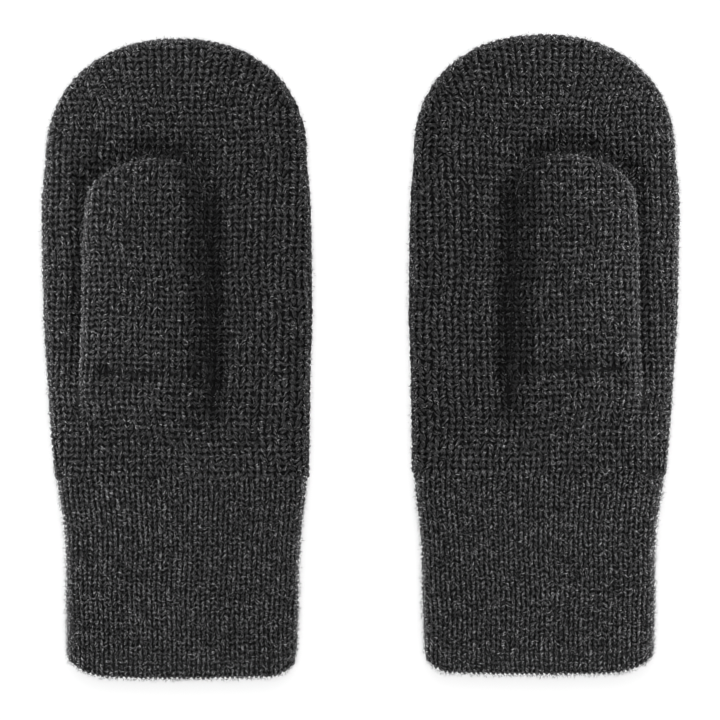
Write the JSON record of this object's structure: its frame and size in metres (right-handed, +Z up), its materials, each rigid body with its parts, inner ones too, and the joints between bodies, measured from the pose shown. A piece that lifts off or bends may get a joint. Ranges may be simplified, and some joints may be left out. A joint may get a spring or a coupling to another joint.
{
  "type": "pair of knit mittens",
  "caption": "Knit mittens laid flat with palms up: ribbed tubular cuffs, rounded finger tips, thumbs folded up over the palms.",
  "frame": {"origin": "on the surface that the pair lies on, under the middle of the pair's box", "axes": "+Z up out of the palms, +Y along the mittens from the cuffs to the finger tips, +X from the left mitten to the right one"},
  "size_m": [0.1894, 0.1912, 0.0145],
  "materials": {
    "hand_knit": "charcoal melange wool, coarse knit, matt and hairy",
    "cuff_rib": "charcoal melange wool, fine upright ribs, matt and hairy",
    "thumb_knit": "charcoal melange wool, coarse knit, matt and hairy"
  },
  "bodies": {
    "root": {"left_back": "hand_knit", "left_palm": "hand_knit", "left_cuff": "cuff_rib", "left_thumb": "thumb_knit", "right_back": "hand_knit", "right_palm": "hand_knit", "right_cuff": "cuff_rib", "right_thumb": "thumb_knit"}
  },
  "joints": []
}
